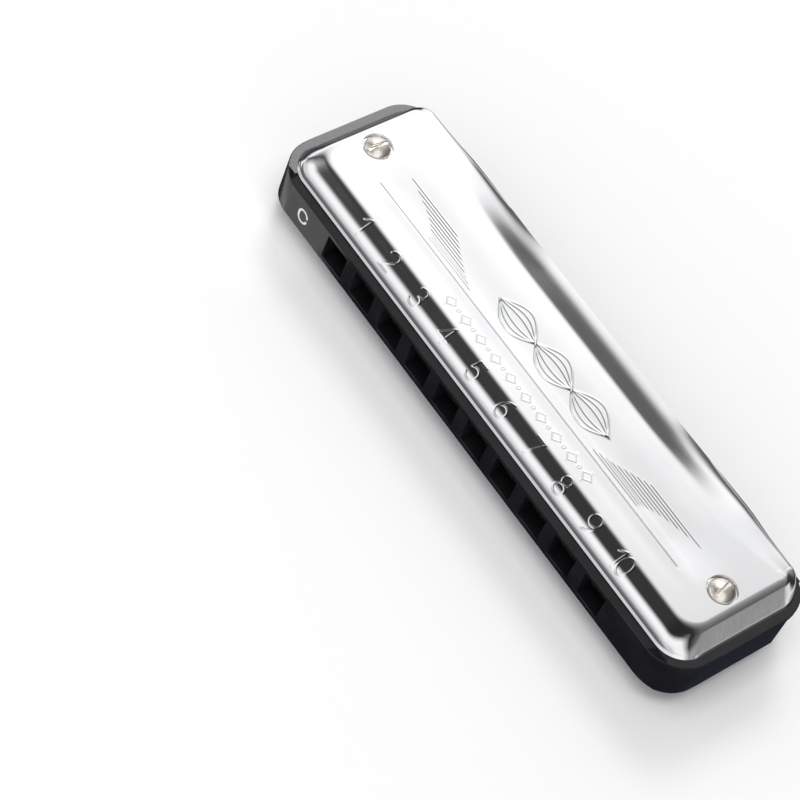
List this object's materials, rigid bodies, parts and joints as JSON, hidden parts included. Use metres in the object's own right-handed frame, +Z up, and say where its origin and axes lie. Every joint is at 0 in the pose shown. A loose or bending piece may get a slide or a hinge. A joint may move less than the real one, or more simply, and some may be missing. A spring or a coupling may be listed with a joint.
{
  "type": "harmonica",
  "caption": "Diatonic harmonica: black comb with a row of mouth holes, brass reed plates with swinging reeds, and two stamped chrome covers held by slotted screws and nuts.",
  "frame": {"origin": "middle of the lower cover's flat land, under the middle of the comb", "axes": "+X along the row of holes from hole 1 to hole 10, -Y towards the player's mouth, +Z up through the upper cover"},
  "size_m": [0.105, 0.0286, 0.0153],
  "materials": {
    "comb_plastic": "satin gloss black",
    "letter_ink": "white fill",
    "plate_brass": "milled",
    "reed_brass": "brushed",
    "rivet_brass": "satin",
    "small_screw_steel": "plated",
    "cover_chrome": "polished",
    "cover_screw_nickel": "polished nickel"
  },
  "bodies": {
    "instrument": {"comb": "comb_plastic", "key_letter": "letter_ink", "blow_reed_plate": "plate_brass", "draw_reed_plate": "plate_brass", "blow_reed_feet": "reed_brass", "draw_reed_feet": "reed_brass", "blow_rivets": "rivet_brass", "draw_rivets": "rivet_brass", "blow_plate_screws": "small_screw_steel", "draw_plate_screws": "small_screw_steel", "top_cover": "cover_chrome", "bottom_cover": "cover_chrome", "cover_screws": "cover_screw_nickel", "cover_nuts": "cover_screw_nickel"},
    "blow_reed_1": {"blow_reed_1": "reed_brass"},
    "blow_reed_2": {"blow_reed_2": "reed_brass"},
    "blow_reed_3": {"blow_reed_3": "reed_brass"},
    "blow_reed_4": {"blow_reed_4": "reed_brass"},
    "blow_reed_5": {"blow_reed_5": "reed_brass"},
    "blow_reed_6": {"blow_reed_6": "reed_brass"},
    "blow_reed_7": {"blow_reed_7": "reed_brass"},
    "blow_reed_8": {"blow_reed_8": "reed_brass"},
    "blow_reed_9": {"blow_reed_9": "reed_brass"},
    "blow_reed_10": {"blow_reed_10": "reed_brass"},
    "draw_reed_1": {"draw_reed_1": "reed_brass"},
    "draw_reed_2": {"draw_reed_2": "reed_brass"},
    "draw_reed_3": {"draw_reed_3": "reed_brass"},
    "draw_reed_4": {"draw_reed_4": "reed_brass"},
    "draw_reed_5": {"draw_reed_5": "reed_brass"},
    "draw_reed_6": {"draw_reed_6": "reed_brass"},
    "draw_reed_7": {"draw_reed_7": "reed_brass"},
    "draw_reed_8": {"draw_reed_8": "reed_brass"},
    "draw_reed_9": {"draw_reed_9": "reed_brass"},
    "draw_reed_10": {"draw_reed_10": "reed_brass"}
  },
  "joints": [
    {"name": "blow_reed_1_swing", "type": "hinge", "parent": "instrument", "child": "blow_reed_1", "pos_m": [-0.03375, 0.009, 0.00977], "axis": [1, 0, 0], "range_deg": [-3.5, 3.5], "stiffness_Nm_per_rad": 0.0259},
    {"name": "blow_reed_2_swing", "type": "hinge", "parent": "instrument", "child": "blow_reed_2", "pos_m": [-0.02625, 0.00817, 0.00977], "axis": [1, 0, 0], "range_deg": [-3.5, 3.5], "stiffness_Nm_per_rad": 0.0272},
    {"name": "blow_reed_3_swing", "type": "hinge", "parent": "instrument", "child": "blow_reed_3", "pos_m": [-0.01875, 0.00733, 0.00977], "axis": [1, 0, 0], "range_deg": [-3.5, 3.5], "stiffness_Nm_per_rad": 0.0287},
    {"name": "blow_reed_4_swing", "type": "hinge", "parent": "instrument", "child": "blow_reed_4", "pos_m": [-0.01125, 0.0065, 0.00977], "axis": [1, 0, 0], "range_deg": [-3.5, 3.5], "stiffness_Nm_per_rad": 0.0303},
    {"name": "blow_reed_5_swing", "type": "hinge", "parent": "instrument", "child": "blow_reed_5", "pos_m": [-0.00375, 0.00567, 0.00977], "axis": [1, 0, 0], "range_deg": [-3.5, 3.5], "stiffness_Nm_per_rad": 0.0322},
    {"name": "blow_reed_6_swing", "type": "hinge", "parent": "instrument", "child": "blow_reed_6", "pos_m": [0.00375, 0.00483, 0.00977], "axis": [1, 0, 0], "range_deg": [-3.5, 3.5], "stiffness_Nm_per_rad": 0.0343},
    {"name": "blow_reed_7_swing", "type": "hinge", "parent": "instrument", "child": "blow_reed_7", "pos_m": [0.01125, 0.004, 0.00977], "axis": [1, 0, 0], "range_deg": [-3.5, 3.5], "stiffness_Nm_per_rad": 0.0367},
    {"name": "blow_reed_8_swing", "type": "hinge", "parent": "instrument", "child": "blow_reed_8", "pos_m": [0.01875, 0.00317, 0.00977], "axis": [1, 0, 0], "range_deg": [-3.5, 3.5], "stiffness_Nm_per_rad": 0.0394},
    {"name": "blow_reed_9_swing", "type": "hinge", "parent": "instrument", "child": "blow_reed_9", "pos_m": [0.02625, 0.00233, 0.00977], "axis": [1, 0, 0], "range_deg": [-3.5, 3.5], "stiffness_Nm_per_rad": 0.0426},
    {"name": "blow_reed_10_swing", "type": "hinge", "parent": "instrument", "child": "blow_reed_10", "pos_m": [0.03375, 0.0015, 0.00977], "axis": [1, 0, 0], "range_deg": [-3.5, 3.5], "stiffness_Nm_per_rad": 0.0463},
    {"name": "draw_reed_1_swing", "type": "hinge", "parent": "instrument", "child": "draw_reed_1", "pos_m": [-0.03375, -0.007, 0.00367], "axis": [1, 0, 0], "range_deg": [-3.5, 3.5], "stiffness_Nm_per_rad": 0.0259},
    {"name": "draw_reed_2_swing", "type": "hinge", "parent": "instrument", "child": "draw_reed_2", "pos_m": [-0.02625, -0.007, 0.00367], "axis": [1, 0, 0], "range_deg": [-3.5, 3.5], "stiffness_Nm_per_rad": 0.0272},
    {"name": "draw_reed_3_swing", "type": "hinge", "parent": "instrument", "child": "draw_reed_3", "pos_m": [-0.01875, -0.007, 0.00367], "axis": [1, 0, 0], "range_deg": [-3.5, 3.5], "stiffness_Nm_per_rad": 0.0287},
    {"name": "draw_reed_4_swing", "type": "hinge", "parent": "instrument", "child": "draw_reed_4", "pos_m": [-0.01125, -0.007, 0.00367], "axis": [1, 0, 0], "range_deg": [-3.5, 3.5], "stiffness_Nm_per_rad": 0.0303},
    {"name": "draw_reed_5_swing", "type": "hinge", "parent": "instrument", "child": "draw_reed_5", "pos_m": [-0.00375, -0.007, 0.00367], "axis": [1, 0, 0], "range_deg": [-3.5, 3.5], "stiffness_Nm_per_rad": 0.0322},
    {"name": "draw_reed_6_swing", "type": "hinge", "parent": "instrument", "child": "draw_reed_6", "pos_m": [0.00375, -0.007, 0.00367], "axis": [1, 0, 0], "range_deg": [-3.5, 3.5], "stiffness_Nm_per_rad": 0.0343},
    {"name": "draw_reed_7_swing", "type": "hinge", "parent": "instrument", "child": "draw_reed_7", "pos_m": [0.01125, -0.007, 0.00367], "axis": [1, 0, 0], "range_deg": [-3.5, 3.5], "stiffness_Nm_per_rad": 0.0367},
    {"name": "draw_reed_8_swing", "type": "hinge", "parent": "instrument", "child": "draw_reed_8", "pos_m": [0.01875, -0.007, 0.00367], "axis": [1, 0, 0], "range_deg": [-3.5, 3.5], "stiffness_Nm_per_rad": 0.0394},
    {"name": "draw_reed_9_swing", "type": "hinge", "parent": "instrument", "child": "draw_reed_9", "pos_m": [0.02625, -0.007, 0.00367], "axis": [1, 0, 0], "range_deg": [-3.5, 3.5], "stiffness_Nm_per_rad": 0.0426},
    {"name": "draw_reed_10_swing", "type": "hinge", "parent": "instrument", "child": "draw_reed_10", "pos_m": [0.03375, -0.007, 0.00367], "axis": [1, 0, 0], "range_deg": [-3.5, 3.5], "stiffness_Nm_per_rad": 0.0463}
  ]
}
